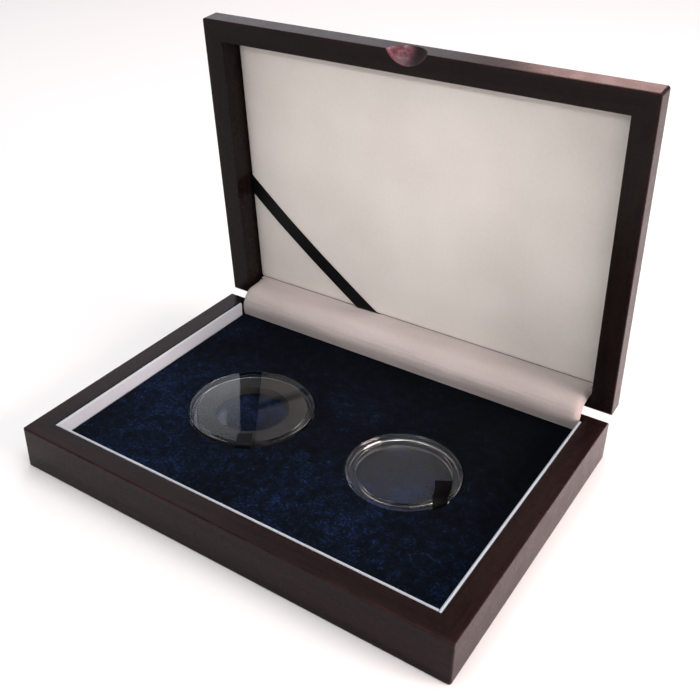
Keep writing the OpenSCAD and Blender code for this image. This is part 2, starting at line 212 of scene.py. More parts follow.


# Rayon velvet glued over card: short cut pile, nearly black where it stands up, with
# small blue flecks where it has been brushed over. It is painted lighter and more flecked
# towards the front left as painted light, and a little lighter at the bottom of the wells.
def makeVelvet():
    look = {"deep": "#030508", "navy": "#060a11", "lit": "#0b1424", "tip": "#203b70",
            "drift": 26 * mm, "brush": 3.6 * mm, "tuft": 0.8 * mm}
    material, place = startMaterial("velvet_navy_pile")

    def mixOf(*parts):   # a weighted sum
        total = 0.0
        for source, weight in parts:
            total = combine("MULTIPLY_ADD", source, weight, total)
        return total

    drift = speckle(place, look["drift"])
    brush = speckle(place, look["brush"], 4.0, 0.72, 0.8)
    tuft = speckle(place, look["tuft"], 3.0, 0.75)
    # painted light: lighter and more flecked towards the front left corner, darker towards the
    # rear right, from x and y in metres, with a random drift mixed in
    where = addNode(place, "SeparateXYZ", {"Vector": place}).outputs
    driftAndPaintedLight = mixOf((where["X"], -1.6), (where["Y"], -3.6), (drift, 0.8))
    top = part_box("velvet_cover")[1].z
    # painted light: the velvet is drawn a little lighter and more flecked at the bottom of the
    # wells, under the capsules
    paintedWellLight = addNode(place, "MapRange", {   # by the capsules, at the bottom of the wells
        "Value": where["Z"], "From Min": top - 1.5 * mm, "From Max": top - 4 * mm,
    }).outputs["Result"]
    napAndPaintedLight = mixOf((brush, 0.45), (tuft, 0.2), (driftAndPaintedLight, 0.35), (paintedWellLight, 0.05))
    pile = ramp(napAndPaintedLight, (0.38, look["deep"]), (0.48, look["navy"]), (0.62, look["lit"]))
    fleckAndPaintedLight = mixOf((tuft, 0.5), (brush, 0.3), (driftAndPaintedLight, 0.2), (paintedWellLight, 0.035))
    tipMask = ramp(fleckAndPaintedLight, (0.545, 0.0), (0.67, 0.6))
    finishMaterial(place, {
        "Base Color": layColour(tipMask, pile, paint(look["tip"])),
        "Normal": relief(mixOf((brush, 0.6), (tuft, 1.0)), 0.8, 0.3 * mm),
        "Roughness": 1.0, "Specular IOR Level": 0.05, "Sheen Weight": 0.04,
        "Sheen Roughness": 0.4, "Sheen Tint": paint("#4a6ea8")})
    return material


# Plain woven rayon cloth: two crossing sets of threads, darker between them.
# Real threads are 0.2 mm apart, drawn at 0.55 mm so that they show.
def makeWoven(name, light, shade, thread=0.55 * mm, sheen=0.3):
    material, place = startMaterial(name)
    bandStep = 0.314   # from band to band of the wave texture when its scale is 1
    warp, weft = (
        addNode(place, "TexWave", {
            "Vector": place, "Scale": bandStep / thread, "Distortion": 0.6, "Detail": 1.0,
            "Detail Scale": 0.6,
        }, wave_type="BANDS", bands_direction=axis, wave_profile="SIN").outputs["Fac"]
        for axis in "XY")
    threads = combine("MULTIPLY", warp, weft)
    cloud = speckle(place, 30 * mm, 2.0, 0.4)
    slub = speckle(place, 1.3 * mm)
    tone = combine("MULTIPLY_ADD", slub, 0.3, combine("MULTIPLY_ADD", threads, 0.35, cloud))
    finishMaterial(place, {
        "Base Color": ramp(tone, (0.35, shade), (1.0, light)),
        "Normal": relief(tone, 0.35, 0.12 * mm), "Roughness": 0.75,
        "Specular IOR Level": 0.25, "Sheen Weight": sheen, "Sheen Roughness": 0.45})
    return material


# Black satin ribbon: floats of warp thread give it a soft streak of light.
def makeSatin():
    material, place = startMaterial("satin_black_ribbon")
    rib = speckle(place, 0.35 * mm)
    finishMaterial(place, {
        "Base Color": ramp(rib, (0.3, "#030304"), (0.75, "#0c0c0f")),
        "Normal": relief(rib, 0.25, 0.05 * mm), "Roughness": 0.45,
        "Specular IOR Level": 0.1, "Sheen Weight": 0.01, "Sheen Roughness": 0.3})
    return material


# Brass and steel, stamped, turned or drawn: a metal shine with short rubbing marks.
def makeMetal(name, light, dark, rough, scratch):
    material, place = startMaterial(name)
    marks = speckle(place, (4 * mm, scratch, scratch), 4.0, 0.65)
    tarnish = speckle(place, 5 * mm, 3.0)
    finishMaterial(place, {
        "Base Color": ramp(tarnish, (0.2, dark), (0.6, light)),
        "Roughness": ramp(marks, (0.3, rough), (0.7, rough + 0.2)),
        "Normal": relief(marks, 0.2, 0.03 * mm), "Metallic": 1.0})
    return material


# Acrylic, injection moulded: clear, bright at its rims and dark where it faces the eye,
# with a few hairline scratches from handling that only show as a little haze.
def makeAcrylic(name, scratched):
    material, place = startMaterial(name)
    hairs = []
    for turned in (0.6, -0.9):   # the scratches run two ways
        hair = speckle(place, (0.3 * mm, 14 * mm, 4 * mm), 0.0, turn=(0, 0, turned))
        hairs.append(ramp(hair, (0.80, 0.0), (0.84, 1.0)))
    shader = addNode(place, "BsdfPrincipled", {
        "Base Color": paint("#fcfdfe"), "IOR": 1.33, "Transmission Weight": 1.0,
        "Specular Tint": paint("#20242c"),
        "Roughness": ramp(combine("ADD", *hairs), (0.0, 0.0), (1.0, scratched))})
    # lamps shine straight through, so what lies under the windows is lit
    clear = addNode(place, "BsdfTransparent", {"Color": paint("#fafbfc")})
    through = addNode(place, "MixShader", {
        0: addNode(place, "LightPath").outputs["Is Shadow Ray"],
        1: shader.outputs["BSDF"], 2: clear.outputs["BSDF"]})
    addNode(place, "OutputMaterial", {"Surface": through.outputs["Shader"]})
    return material


# Closed-cell foam, die cut: matt charcoal with small pits.
def makeFoam():
    material, place = startMaterial("foam_charcoal_ring")
    cells = addNode(place, "TexVoronoi", {
        "Vector": spread(place, 0.5 * mm), "Scale": 1.0}).outputs["Distance"]
    finishMaterial(place, {
        "Base Color": ramp(cells, (0.0, "#0c0c0c"), (0.7, "#1c1c1c")),
        "Normal": relief(cells, 0.5, 0.1 * mm), "Roughness": 0.9,
        "Specular IOR Level": 0.2})
    return material


# Grey board and floor board, rolled and left raw: flecked fibres.
def makeBoard(name, light, dark):
    material, place = startMaterial(name)
    fibre = speckle(place, (2.5 * mm, 0.5 * mm, 0.5 * mm), 5.0, 0.7)
    finishMaterial(place, {
        "Base Color": ramp(fibre, (0.35, dark), (0.7, light)),
        "Normal": relief(fibre, 0.3, 0.06 * mm), "Roughness": 0.85,
        "Specular IOR Level": 0.25})
    return material


mahoganyX = makeMahogany("mahogany_lacquer_long", 0)
mahoganyY = makeMahogany("mahogany_lacquer_side", 1)
# the lid's wood is drawn darker and less red than the base's
darkBoard = {"dark": "#110b0a", "mid": "#17110f", "warm": "#1d1513"}
mahoganyLidX = makeMahogany("mahogany_lacquer_lid_long", 0, darkBoard)
mahoganyLidY = makeMahogany("mahogany_lacquer_lid_side", 1, darkBoard)
# the turned scoop shows more of the red wood and shines where the finish pooled; its bowl is
# painted lit on its left side and painted in near-black shade on its right side
mahoganyScoop = makeMahogany("mahogany_lacquer_scoop", 0, {
    "dark": "#3c181e", "mid": "#5c2b35", "warm": "#8a5663", "specular": 0.35, "gloss": 0.34,
    "poreWidth": 0.5 * mm, "poreLength": 1.2 * mm, "bandWidth": 1.3 * mm, "bandLength": 2.4 * mm,
    "paintedLitTo": (-0.5 * mm, 4 * mm), "paintedShadeTone": "#150b0a"})
velvet = makeVelvet()
creamCloth = makeWoven("rayon_cream_woven", "#ddd6cf", "#cdc5be")
# the hinge cover's cloth is the panel's cream cloth drawn darker: painted shade
shadedCreamCloth = makeWoven("rayon_cream_hinge_woven_painted_shade", "#c1b5b1", "#ab9f9b")
whiteCloth = makeWoven("rayon_white_liner_woven", "#b3b9c1", "#9ca3ab", 0.45 * mm, 0.1)
satin = makeSatin()
brass = makeMetal("brass_stamped", "#c4a45e", "#a5854a", 0.3, 0.25 * mm)
screwBrass = makeMetal("brass_turned_screw", "#dcc48c", "#c2a468", 0.18, 0.12 * mm)
steel = makeMetal("steel_drawn_pin", "#c4c6c8", "#8f9296", 0.22, 0.12 * mm)
acrylic = makeAcrylic("acrylic_moulded_clear", 0.12)
foam = makeFoam()
coreCard = makeBoard("grey_board_core", "#5a5a60", "#2e2e34")
panelCard = makeBoard("grey_board_panel", "#b6a88e", "#85785f")
floorBoard = makeBoard("fibre_board_floor", "#3c2a25", "#1f1512")
print("materials made")


def addObject(name, data):
    made = bpy.data.objects.new(name, data)
    bpy.context.scene.collection.objects.link(made)
    return made


def addPiece(name, verts, faces, material):
    mesh = bpy.data.meshes.new(name)
    mesh.from_pydata([tuple(v) for v in verts], [], faces)
    mesh.validate()
    mesh.materials.append(material)
    for polygon in mesh.polygons:
        polygon.use_smooth = True
    return addObject(name, mesh)


# four-sided faces over rows of points: closed joins a row's own ends, and loop joins
# the last row to the first
def skin(rows, ring, start=0, closed=True, loop=False):
    faces = []
    for s in range(rows if loop else rows - 1):
        here, after = start + s * ring, start + (s + 1) % rows * ring
        for k in range(ring if closed else ring - 1):
            n = (k + 1) % ring
            faces.append((here + k, here + n, after + n, after + k))
    return faces


def tube(rows, ring):
    return [*skin(rows, ring), tuple(range(ring)),
            tuple((rows - 1) * ring + k for k in reversed(range(ring)))]


# faces point outwards, and edges sharper than sharpAngle, in degrees, stay sharp
def finishMesh(work, piece, sharpAngle=32):
    bmesh.ops.recalc_face_normals(work, faces=work.faces)
    for edge in work.edges:
        if len(edge.link_faces) == 2:
            edge.smooth = edge.calc_face_angle(0) < radians(sharpAngle)
    work.to_mesh(piece.data)
    work.free()
    piece.data.update()
    return piece


# merge doubled corners first
def cleanMesh(piece, merge=0.004 * mm, sharpAngle=32):
    work = bmesh.new()
    work.from_mesh(piece.data)
    bmesh.ops.remove_doubles(work, verts=work.verts, dist=merge)
    bmesh.ops.dissolve_degenerate(work, edges=work.edges, dist=merge / 2)
    return finishMesh(work, piece, sharpAngle)


def settle(piece, body, stoodFor):
    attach(piece, body)
    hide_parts(stoodFor)


# a closed outline of (inset, height) points with some corners rounded
def easeProfile(corners, steps=5):
    outline = []
    count = len(corners)
    for i, (d, z, radius) in enumerate(corners):
        here = Vector((d, z))
        if radius <= 0:
            outline.append(here)
            continue
        before = Vector(corners[i - 1][:2]) - here
        after = Vector(corners[(i + 1) % count][:2]) - here
        half = before.angle(after) / 2
        reach = radius / tan(half)
        a, b = here + before.normalized() * reach, here + after.normalized() * reach
        centre = here + (before.normalized() + after.normalized()).normalized() * (
            radius / sin(half))
        for k in range(steps + 1):
            t = k / steps
            ray = ((a - centre).normalized().slerp((b - centre).normalized(), t)
                   if k not in (0, steps) else ((a, b)[k == steps] - centre).normalized())
            outline.append(centre + ray * radius)
    return outline


# a point of a profile at a station: which corner of the case, and the angle round it
def cornerPoint(side, front, angle, inset, z, rearWall):
    r, hw, hd = case["cornerR"], case["halfW"], case["halfD"]
    thinner = case["wall"] - rearWall if front > 0 and inset > case["wall"] / 2 else 0
    if inset < r:
        x = (hw - r) + (r - inset) * cos(angle)
        y = (hd - r) + (r - inset) * sin(angle)
    else:
        x, y = hw - inset, hd - (inset - thinner)
    return Vector((side * x, front * y, z))


def sweepRail(name, profile, which, material):
    eighth = pi / 4      # a rail's mitre is halfway round the corner
    steps = 6
    turns = [eighth * k / steps for k in range(steps + 1)]
    if which in ("front", "rear"):
        front = -1 if which == "front" else 1
        angles = [eighth + a for a in turns]
        stations = [(-1, front, a) for a in angles] + [(1, front, a) for a in reversed(angles)]
    else:
        side = -1 if which == "left" else 1
        stations = [(side, -1, a) for a in reversed(turns)] + [(side, 1, a) for a in turns]
    verts = [cornerPoint(*station, p.x, p.y, case["rear"])
             for station in stations for p in profile]
    return cleanMesh(addPiece(name, verts, tube(len(stations), len(profile)), material))


# cut a piece by a plane and close the cut
def trim(piece, at, normal):
    work = bmesh.new()
    work.from_mesh(piece.data)
    cut = bmesh.ops.bisect_plane(
        work, geom=[*work.verts, *work.edges, *work.faces], plane_co=at, plane_no=normal,
        clear_outer=True)
    rim = [e for e in cut["geom_cut"] if isinstance(e, bmesh.types.BMEdge)]
    bmesh.ops.edgeloop_fill(work, edges=rim)
    return finishMesh(work, piece)


def applyModifiers(piece):
    graph = bpy.context.evaluated_depsgraph_get()
    applied = bpy.data.meshes.new_from_object(piece.evaluated_get(graph))
    piece.modifiers.clear()
    piece.data = applied


def makeCutter(work):
    mesh = bpy.data.meshes.new("cutter")
    work.to_mesh(mesh)
    work.free()
    return addObject("cutter", mesh)


def carve(piece, cutter):
    modifier = piece.modifiers.new("carve", "BOOLEAN")
    modifier.operation = "DIFFERENCE"
    modifier.solver = "EXACT"
    modifier.object = cutter
    bpy.context.view_layer.update()
    applyModifiers(piece)
    bpy.data.objects.remove(cutter)
    cleanMesh(piece)


def makeBlock(low, high):
    work = bmesh.new()
    bmesh.ops.create_cube(work, size=1)
    for v in work.verts:
        v.co = [low[i] if v.co[i] < 0 else high[i] for i in range(3)]
    return makeCutter(work)


# how rubbed each face corner is, by its distance from the outer edges
def addRub(piece, edgesAt, reach=0.6 * mm, most=0.35):
    data = piece.data
    rub = data.attributes.get("rub") or data.attributes.new("rub", "FLOAT", "CORNER")
    byVertex = [max(0.0, 1 - min(edgesAt(v.co)) / reach) * most for v in data.vertices]
    rub.data.foreach_set("value", [byVertex[loop.vertex_index] for loop in data.loops])


# -- camera, floor and light
shot = {
    "azimuth": 34.918, "elevation": 30.290, "roll": -0.441,
    "at": (0.15319, -0.22693, 0.22061), "lens": 49.19, "shift": (0.0657, -0.0479),
}
a, e, r = (radians(shot[k]) for k in ("azimuth", "elevation", "roll"))
back = Vector((sin(a) * cos(e), -cos(a) * cos(e), sin(e)))
right = Vector((cos(a), sin(a), 0))
up = right.cross(-back)
camData = bpy.data.cameras.new("camera")
camData.lens = shot["lens"]
camData.sensor_width = 36
camData.sensor_fit = "HORIZONTAL"
camData.shift_x, camData.shift_y = shot["shift"]
camData.clip_start = 0.01
camera = addObject("camera", camData)
right2 = right * cos(r) + up * sin(r)
up2 = up * cos(r) - right * sin(r)
turn = Matrix((right2, up2, back)).transposed()
camera.matrix_world = Matrix.Translation(shot["at"]) @ turn.to_4x4()
bpy.context.scene.camera = camera

studio = {
    "floor": "#f4f3f2", "world": "#dfe2e6", "worldPower": 0.44,
    # name: (place, aimed at, size, power, colour)
    "lights": {
        "window_right": ((0.85, 0.1, 0.30), (0, 0, 0.06), (0.6, 0.45), 11, "#ffe6e1"),
        "wall_left": ((-1.1, 1.25, 1.1), (0, 0, 0), (1.1, 1.1), 5.0, "#eef4ff"),
        "wall_rear": ((-0.33, 1.65, 0.9), (0.05, 0.07, 0.13), (0.5, 0.3), 5.2, "#ffcfca"),
        "ceiling": ((0.1, 0.0, 1.3), (0, 0, 0), (1.2, 1.2), 12.5, "#ffffff"),
        "fill_front": ((-0.25, -1.25, 0.75), (0, 0.05, 0.08), (0.8, 0.6), 2, "#ffffff"),
    },
    # a soft spot that fades towards the corners of the lid's panel
    "glow": {"at": (0.16, -0.72, 0.50), "aim": (0.0, 0.065, 0.07), "cone": 12.5, "power": 17,
             "radius": 0.06},
}


def hangLamp(name, kind, at, aim, power):
    lamp = bpy.data.lights.new(name, kind)
    lamp.energy = power
    holder = addObject(name, lamp)
    holder.location = at
    holder.rotation_mode = "QUATERNION"
    holder.rotation_quaternion = (Vector(aim) - Vector(at)).to_track_quat("-Z", "Y")
    return lamp


def makeStudio():
    material, place = startMaterial("paper_pale_floor")
    finishMaterial(place, {"Base Color": paint(studio["floor"]), "Roughness": 0.9,
                           "Specular IOR Level": 0.1})
    half = 6
    addPiece("floor", [(-half, -half, 0), (half, -half, 0), (half, half, 0),
                                (-half, half, 0)], [(0, 1, 2, 3)], material)
    world = bpy.data.worlds.new("studio")
    world.use_nodes = True
    sky = world.node_tree.nodes["Background"]
    sky.inputs["Color"].default_value = paint(studio["world"])
    sky.inputs["Strength"].default_value = studio["worldPower"]
    bpy.context.scene.world = world
    bpy.context.scene.view_settings.view_transform = "Standard"
    for name, (at, aim, size, power, colour) in studio["lights"].items():
        lamp = hangLamp(name, "AREA", at, aim, power)
        lamp.shape = "RECTANGLE"
        lamp.size, lamp.size_y = size
        lamp.color = paint(colour)[:3]
    glow = studio["glow"]
    lamp = hangLamp("glow", "SPOT", glow["at"], glow["aim"], glow["power"])
    lamp.spot_size = radians(glow["cone"])
    lamp.spot_blend = 1.0
    lamp.shadow_soft_size = glow["radius"]


makeStudio()
print("camera and studio set")


# -- wooden case, base and lid
def railProfile(z0, z1, easeLow, easeHigh, easeInside):
    by = 1.1 * mm   # loops near the edges keep the rubbed look at them
    return easeProfile([
        (by, z0, 0), (0, z0, easeLow), (0, z0 + by, 0), (0, z1 - by, 0), (0, z1, easeHigh),
        (by, z1, 0), (case["wall"] - by, z1, 0), (case["wall"], z1, easeInside),
        (case["wall"], z0, 0)])


def carveHingePockets(rail, below):
    leafLow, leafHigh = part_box("hinge_leaf_base_left")
    air, inFrom, outTo = 0.1 * mm, 0.8 * mm, 3 * mm   # depths from the rear face
    deep = pin.z - leafLow.z + air
    z0, z1 = (pin.z - deep, pin.z) if below else (pin.z, pin.z + deep)
    for sign in (-1, 1):
        x0, x1 = sorted((sign * leafLow.x, sign * leafHigh.x))
        carve(rail, makeBlock((x0 - air, case["halfD"] - inFrom, z0),
                              (x1 + air, case["halfD"] + outTo, z1)))


def carveScoop(rail):
    scoop = {"radius": 8.7 * mm, "out": 3.5 * mm, "low": 2 * mm, "side": 1.6 * mm}
    work = bmesh.new()
    bmesh.ops.create_uvsphere(work, u_segments=96, v_segments=64, radius=scoop["radius"])
    cutter = makeCutter(work)
    bowl = Vector((scoop["side"], -case["halfD"] - scoop["out"], lidZ - scoop["low"]))
    cutter.location = bowl
    carve(rail, cutter)
    rail.data.materials.append(mahoganyScoop)
    for polygon in rail.data.polygons:
        corners = [rail.data.vertices[i].co for i in polygon.vertices]
        if all((co - bowl).length < scoop["radius"] + 0.02 * mm for co in corners):
            polygon.material_index = 1


# distances from the long outer edges, at each height in levels
def edgeDistances(co, levels):
    dx, dy = case["halfW"] - abs(co.x), case["halfD"] - abs(co.y)
    return [hypot(min(dx, dy), co.z - level) for level in levels] + [hypot(dx, dy)]


def makeRails(body, profile, woods, chamfer, meet, levels):
    upwards = 1 if body == "base" else -1
    for which in ("front", "rear", "left", "right"):
        rail = sweepRail(body + "_" + which + "_rail", profile, which,
                         woods[which in ("left", "right")])
        if which != "front":   # chamfered where base and lid meet at the rear
            trim(rail, (0, case["halfD"] - chamfer, meet), (0, 1, upwards))
        if which == "rear":
            carveHingePockets(rail, body == "base")
        if which == "front" and body == "lid":
            carveScoop(rail)
        addRub(rail, lambda co: edgeDistances(co, levels))
        if body == "lid":
            rail.matrix_world = lidPose
        settle(rail, body, body + "_" + which)


baseTop, sideTop = case["baseH"], lidZ + case["lidSide"]
makeRails("base", railProfile(0, baseTop, 0.4 * mm, case["easeOut"], case["easeIn"]),
          (mahoganyX, mahoganyY), 2.0 * mm, baseTop, [0, baseTop])
makeRails("lid", railProfile(lidZ, sideTop, case["easeOut"], 0, 0),
          (mahoganyLidX, mahoganyLidY), 1.6 * mm, lidZ, [lidZ])


def makeLidTop():
    wall, roofZ = case["wall"], sideTop + bevelH
    profile = easeProfile([
        (0, sideTop, 0), (0, sideTop + 0.12 * mm, 0.5 * mm), (1.2 * mm, sideTop + 1.32 * mm, 0),
        (bevelH - 1.2 * mm, roofZ - 1.2 * mm, 0), (bevelH, roofZ, 0.9 * mm),
        (bevelH + 1.4 * mm, roofZ, 0), (bevelH + 6 * mm, roofZ, 0), (bevelH + 6 * mm, sideTop, 0)])
    # one ring all the way round, then the roof inside it
    steps = 6
    stations = []
    for sx, fy in ((-1, -1), (1, -1), (1, 1), (-1, 1)):
        angles = [pi / 2 * k / steps for k in range(steps + 1)]
        stations += [(sx, fy, t) for t in (angles if sx == fy else reversed(angles))]
    outer = [p for p in profile if p.x < bevelH + 3 * mm]
    ring, total = len(outer), len(stations)
    verts = [cornerPoint(*station, p.x, p.y, wall) for station in stations for p in outer]
    faces = skin(total, ring, closed=False, loop=True)
    faces.append(tuple(s * ring + ring - 1 for s in range(total)))
    # the underside with its pocket: a wide upper part for the pad, then the board's
    lipRear, boardRear = inRear - case["lip"], inRear - case["ledge"]
    pocketZ = lidZ + case["pocketDepth"]
    stepZ = lidZ + case["panelDrop"] + 1.75 * mm
    start = len(verts)
    for rear, z in ((lipRear, sideTop), (lipRear, stepZ), (boardRear, stepZ),
                    (boardRear, pocketZ)):
        verts += [(x, y, z) for x, y in (
            (-inX, inFront), (inX, inFront), (inX, rear), (-inX, rear))]
    for face in ((12, 13, 14, 15), (0, 1, 5, 4), (1, 2, 6, 10, 5), (2, 3, 7, 6), (3, 0, 4, 7, 11),
                 (6, 7, 11, 10), (8, 9, 13, 12), (9, 10, 14, 13), (10, 11, 15, 14),
                 (11, 8, 12, 15)):   # only the rear side has a step
        faces.append(tuple(start + i for i in face))
    # the flat rim between the outline and the hole: a fan at each corner, then a strip
    outline = [s * ring for s in range(total)]
    for k in range(4):
        here = outline[k * (steps + 1):(k + 1) * (steps + 1)]
        faces += [(here[i], here[i + 1], start + k) for i in range(steps)]
        faces.append((here[-1], outline[(k + 1) * (steps + 1) % total], start + (k + 1) % 4,
                      start + k))
    piece = cleanMesh(addPiece("lid_top_board", verts, faces, mahoganyLidX))

    def distances(co):
        out = min(case["halfW"] - abs(co.x), case["halfD"] - abs(co.y))
        return [hypot(out, co.z - sideTop), hypot(out - bevelH, co.z - roofZ)]

    addRub(piece, distances)
    piece.matrix_world = lidPose
    settle(piece, "lid", "lid_top")


makeLidTop()
print("wooden case made")


# -- cloth-covered strips round the well of the base
def makeLiners():
    wave = {"along": 90, "over": 300, "up": 60, "height": 0.06 * mm}   # turns in a metre
    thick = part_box("liner_front")[1].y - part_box("liner_front")[0].y
    for which in ("front", "left", "right"):
        low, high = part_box("liner_" + which)
        along = 0 if which == "front" else 1
        across = 1 - along
        steps = 6
        profile = [(0, low.z), (0, high.z - thick / 2)]
        for k in range(1, steps):
            t = pi * k / steps
            profile.append((thick / 2 - cos(t) * thick / 2,
                            high.z - thick / 2 + sin(t) * thick / 2))
        profile += [(thick, high.z - thick / 2), (thick, low.z)]
        verts = []
        count = 90
        for i in range(count + 1):
            s = low[along] + (high[along] - low[along]) * i / count
            for d, z in profile:
                at = Vector((s * wave["along"], d * wave["over"], z * wave["up"] + along))
                lift = noise.noise(at) * wave["height"] if z > low.z + thick else 0
                point = [0, 0, z + lift]
                point[along] = s
                point[across] = low[across] + d
                verts.append(point)
        strip = addPiece("liner_" + which + "_strip", verts, tube(count + 1, len(profile)),
                         whiteCloth)
        cleanMesh(strip, sharpAngle=50)
        settle(strip, "base", "liner_" + which)


makeLiners()
print("liners made")

# -- the two wells and what sits in them
wells = {}
for side in ("left", "right"):
    low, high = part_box("capsule_" + side + "_cup")
    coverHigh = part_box("capsule_" + side + "_cover")[1]
    wells[side] = {
        "x": (low.x + high.x) / 2, "y": (low.y + high.y) / 2, "r": (high.x - low.x) / 2,
        "z": low.z, "top": coverHigh.z,
        "turn": radians({"left": -60, "right": -25}[side]),
    }
pile = {"wellAir": 0.35 * mm, "seat": 0.2 * mm, "shoulder": 0.7 * mm, "lump": 0.12 * mm,
        "lumps": 260, "lumpLow": 0.04 * mm, "lumpMost": 0.1 * mm, "slant": 0.45,
        "turn": 2.5 * mm, "edge": 0.6 * mm, "grid": 1.1 * mm, "patch": 3 * mm, "rim": 160,
        "slotWidth": 3.6 * mm, "slotDeep": 0.85 * mm}


def aroundWell(w, radius, k):
    angle = 2 * pi * k / pile["rim"]
    return w["x"] + radius * cos(angle), w["y"] + radius * sin(angle)


# how far a place is from the nearer capsule's side
def fromCapsules(p):
    return min((p - Vector((w["x"], w["y"]))).length - w["r"] for w in wells.values())


def makeVelvetCover():
    low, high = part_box("velvet_cover")
    top = high.z
    wellFloor = min(w["z"] for w in wells.values()) - pile["seat"]
    edgeR, rim = pile["edge"], pile["rim"]
    points, edges = [], []

    def loop(outline):
        first = len(points)
        points.extend(Vector(p) for p in outline)
        edges.extend((first + i, first + (i + 1) % len(outline)) for i in range(len(outline)))

    x0, x1 = low.x + edgeR, high.x - edgeR
    y0, y1 = low.y + edgeR, high.y - edgeR
    nx, ny = int((x1 - x0) / pile["grid"]), int((y1 - y0) / pile["grid"])
    border = [(x0 + (x1 - x0) * i / nx, y0) for i in range(nx)]
    border += [(x1, y0 + (y1 - y0) * i / ny) for i in range(ny)]
    border += [(x1 - (x1 - x0) * i / nx, y1) for i in range(nx)]
    border += [(x0, y1 - (y1 - y0) * i / ny) for i in range(ny)]
    loop(border)
    for w in wells.values():
        loop([aroundWell(w, w["r"] + pile["patch"], k) for k in range(rim)])
    for i in range(1, nx):
        for j in range(1, ny):
            p = Vector((x0 + (x1 - x0) * (i + j % 2 * pile["slant"]) / nx,
                        y0 + (y1 - y0) * j / ny))
            if p.x <= x1 - 0.4 * mm and fromCapsules(p) > pile["patch"] + 0.5 * mm:
                points.append(p)
    flat, _, found, *_ = geometry.delaunay_2d_cdt(points, edges, [], 0, 1e-7)
    verts = [Vector((p.x, p.y, top)) for p in flat]
    faces = []
    for face in found:
        centre = sum((flat[i] for i in face), Vector((0, 0))) / len(face)
        if fromCapsules(centre) > pile["patch"] - 0.05 * mm:
            faces.append(tuple(face))
    # wells: shoulder, wall, fillet and floor as rings of the same count
    bore, shoulder = pile["wellAir"], pile["shoulder"]
    section = []   # (distance beyond the capsule, height, how much the slot opens it)
    for k in range(4):
        section.append((pile["patch"] - (pile["patch"] - bore - shoulder) * k / 4, top, 0.0))
    for k in range(6):
        t = pi / 2 * k / 5
        section.append((bore + shoulder * (1 - sin(t)),
                        top - shoulder * (1 - cos(t)), 1.0))
    for k in range(1, 6):
        section.append((bore, top - shoulder - (top - shoulder - wellFloor) * k / 5, 1.0))
    shares = (0.96, 0.85, 0.7, 0.5, 0.3, 0.12)   # of the capsule's radius, on the floor
    for w in wells.values():
        first = len(verts)
        for d, z, opens in section:
            for k in range(rim):
                angle = 2 * pi * k / rim - w["turn"]
                offset = (w["r"] + d) * sin(angle)
                slot = 1 / (1 + (abs(offset) / pile["slotWidth"]) ** 10)
                radius = w["r"] + d + opens * (cos(angle) > 0) * slot * pile["slotDeep"]
                verts.append(Vector((*aroundWell(w, radius, k), z)))
        for share in shares:
            verts += [Vector((*aroundWell(w, w["r"] * share, k), wellFloor)) for k in range(rim)]
        count = len(section) + len(shares)
        faces += skin(count, rim, first)
        faces.append(tuple(first + (count - 1) * rim + k for k in range(rim)))
    # the edge turns down beside the liners
    start = len(verts)
    middle, half = ((x0 + x1) / 2, (y0 + y1) / 2), ((x1 - x0) / 2, (y1 - y0) / 2)
    down = [(sin(pi / 2 * k / 4), 1 - cos(pi / 2 * k / 4)) for k in range(5)]
    turned = min(top - low.z, pile["turn"])
    for out, drop in down + [(1.0, None)]:
        z = top - turned if drop is None else top - edgeR * drop
        for place in border:
            # outwards across each side of the border that the point lies on
            away = [copysign(edgeR * out, place[i] - middle[i])
                    if abs(abs(place[i] - middle[i]) - half[i]) <= 1e-6 else 0 for i in (0, 1)]
            verts.append(Vector((place[0] + away[0], place[1] + away[1], z)))
    faces += skin(len(down) + 1, len(border), start)
    piece = addPiece("velvet_pile_cover", verts, faces, velvet)
    cleanMesh(piece, merge=0.01 * mm, sharpAngle=180)
    for v in piece.data.vertices:   # the pile lies in soft lumps
        if v.co.z > top - 0.05 * mm:
            lump = noise.fractal(v.co * pile["lumps"], 0.8, 2.1, 3) * pile["lump"]
            v.co.z += min(lump - pile["lumpLow"], pile["lumpMost"])
    piece.data.update()
    settle(piece, "base", "velvet_cover")


makeVelvetCover()
print("velvet laid")


# -- lathe-turned shapes for the capsules
def turnShape(name, outline, at, material, segments=160):
    verts, faces = [], []
    ring = len(outline)
    for s in range(segments):
        angle = 2 * pi * s / segments
        for radius, z in outline:
            verts.append((at[0] + radius * cos(angle), at[1] + radius * sin(angle), z))
    for s in range(segments):
        m = (s + 1) % segments
        for k in range(ring):
            n = (k + 1) % ring
            if outline[k][0] < 1e-6 and outline[n][0] < 1e-6:
                continue
            faces.append((s * ring + k, m * ring + k, m * ring + n, s * ring + n))
    return cleanMesh(addPiece(name, verts, faces, material), sharpAngle=40)


